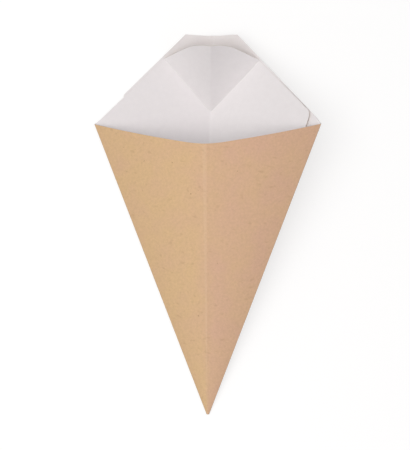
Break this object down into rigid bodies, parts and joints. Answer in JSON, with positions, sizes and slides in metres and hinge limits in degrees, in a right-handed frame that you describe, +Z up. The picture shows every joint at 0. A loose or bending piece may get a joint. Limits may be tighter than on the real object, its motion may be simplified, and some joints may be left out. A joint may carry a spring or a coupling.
{
  "type": "fries cone with dip pocket",
  "caption": "Folded card cone for fries, kraft outside and white inside, with a higher back and a pointed dip pocket popped forward from it.",
  "frame": {"origin": "centre of the overall box, on the surface that the cone lies on", "axes": "+Y along the back's centre crease from the tip to the mouth, +Z up out of the half of the back that it lies on, +X towards the raised side fold"},
  "size_m": [0.125, 0.2298, 0.0512],
  "materials": {
    "coated_kraft_card": "uncoated kraft brown outside, satin white coated inside, raw cut edges"
  },
  "bodies": {
    "root": {"folded_cone": "coated_kraft_card"}
  },
  "joints": []
}
